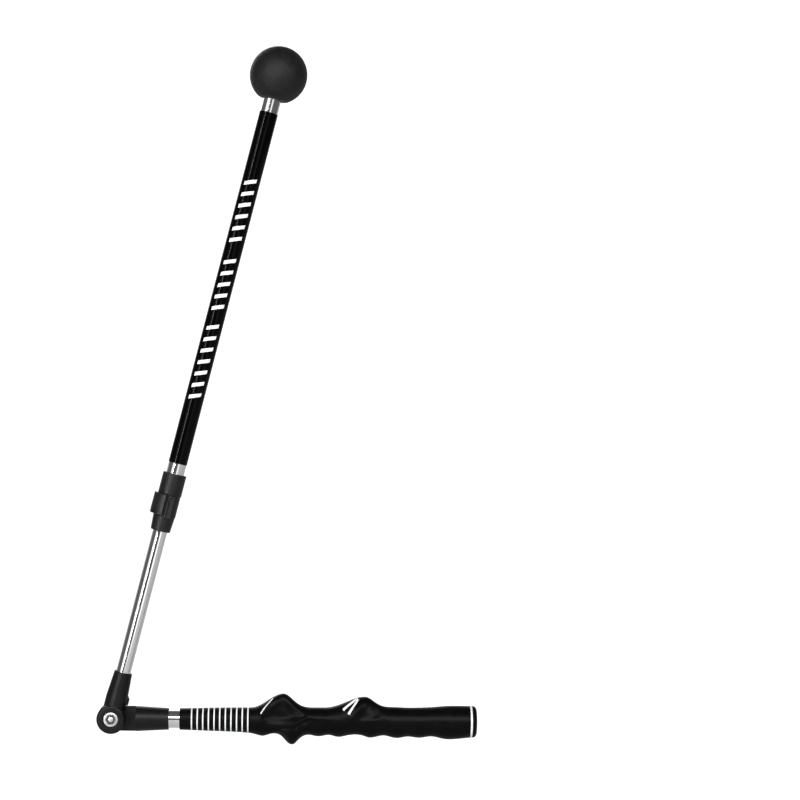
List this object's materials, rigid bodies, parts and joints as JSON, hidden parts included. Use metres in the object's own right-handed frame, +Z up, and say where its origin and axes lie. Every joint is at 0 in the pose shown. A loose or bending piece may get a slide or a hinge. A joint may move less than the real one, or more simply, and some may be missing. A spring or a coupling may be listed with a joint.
{
  "type": "swing trainer stick",
  "caption": "Golf swing trainer: a contoured grip hinged to a telescopic chromed arm with a flip-lever clamp and a black ball at its tip.",
  "frame": {"origin": "on the grip's axis, midway between the two hands", "axes": "+X along the grip towards its butt, +Z up in the plane in which the arm folds, -Y the side of the hinge bolt's head"},
  "size_m": [0.3413, 0.0518, 0.6283],
  "materials": {
    "grip_rubber": "satin moulded black rubber with a fine matt texture",
    "cap_rubber": "satin moulded black rubber",
    "chrome_steel": "bright chrome plated steel tube",
    "knuckle_plastic": "matt black moulded nylon",
    "clamp_plastic": "dark grey moulded plastic with a fine spark texture",
    "liner_plastic": "black acetal",
    "bolt_steel": "satin zinc plated steel",
    "spring_steel": "plain spring steel",
    "nylon_white": "natural nylon",
    "nylon_blue": "blue nylon of a lock nut",
    "film_gloss": "glossy black film",
    "pad_rubber": "hard black rubber",
    "ball_rubber": "matt black rubber with a soft mottled skin",
    "hub_plastic": "black nylon",
    "white_paint": "white paint of the rings, strokes and marks"
  },
  "bodies": {
    "handle": {"grip_sleeve": "grip_rubber", "butt_cap": "cap_rubber", "handle_shaft": "chrome_steel", "handle_knuckle": "knuckle_plastic", "handle_pin": "spring_steel", "hinge_bolt": "bolt_steel", "head_washer": "spring_steel", "friction_washer": "nylon_white", "lock_nut": "bolt_steel", "lock_nut_ring": "nylon_blue"},
    "lower_arm": {"arm_knuckle": "knuckle_plastic", "arm_pin": "spring_steel", "inner_tube": "chrome_steel"},
    "guide": {"guide_bush": "liner_plastic"},
    "upper_arm": {"outer_tube": "chrome_steel", "film_sleeve": "film_gloss", "clamp_body": "clamp_plastic", "clamp_liner": "liner_plastic", "lever_pin": "spring_steel", "ball": "ball_rubber", "ball_hub": "hub_plastic", "hub_pin": "spring_steel"},
    "lever": {"clamp_lever": "clamp_plastic"},
    "pad": {"brake_pad": "pad_rubber"}
  },
  "joints": [
    {"name": "arm_fold", "type": "hinge", "parent": "handle", "child": "lower_arm", "pos_m": [-0.195, 0, 0], "axis": [0, -1, 0], "range_deg": [0, 104]},
    {"name": "arm_twist", "type": "hinge", "parent": "lower_arm", "child": "guide", "pos_m": [-0.12484, 0, 0.28139], "axis": [0.2419, 0, 0.9703], "continuous": true},
    {"name": "arm_length", "type": "slide", "parent": "guide", "child": "upper_arm", "axis": [0.2419, 0, 0.9703], "range_m": [-0.125, 0.03]},
    {"name": "clamp_lever", "type": "hinge", "parent": "upper_arm", "child": "lever", "pos_m": [-0.15788, 0.0005, 0.19517], "axis": [-0.2419, 0, -0.9703], "range_deg": [0, 105]},
    {"name": "pad_press", "type": "slide", "parent": "upper_arm", "child": "pad", "axis": [-0.9703, 0, 0.2419], "range_m": [0, 0.00042]}
  ],
  "couplings": [
    {"joint": "pad_press", "follows": "clamp_lever", "m_per_rad": 0.00022895}
  ]
}
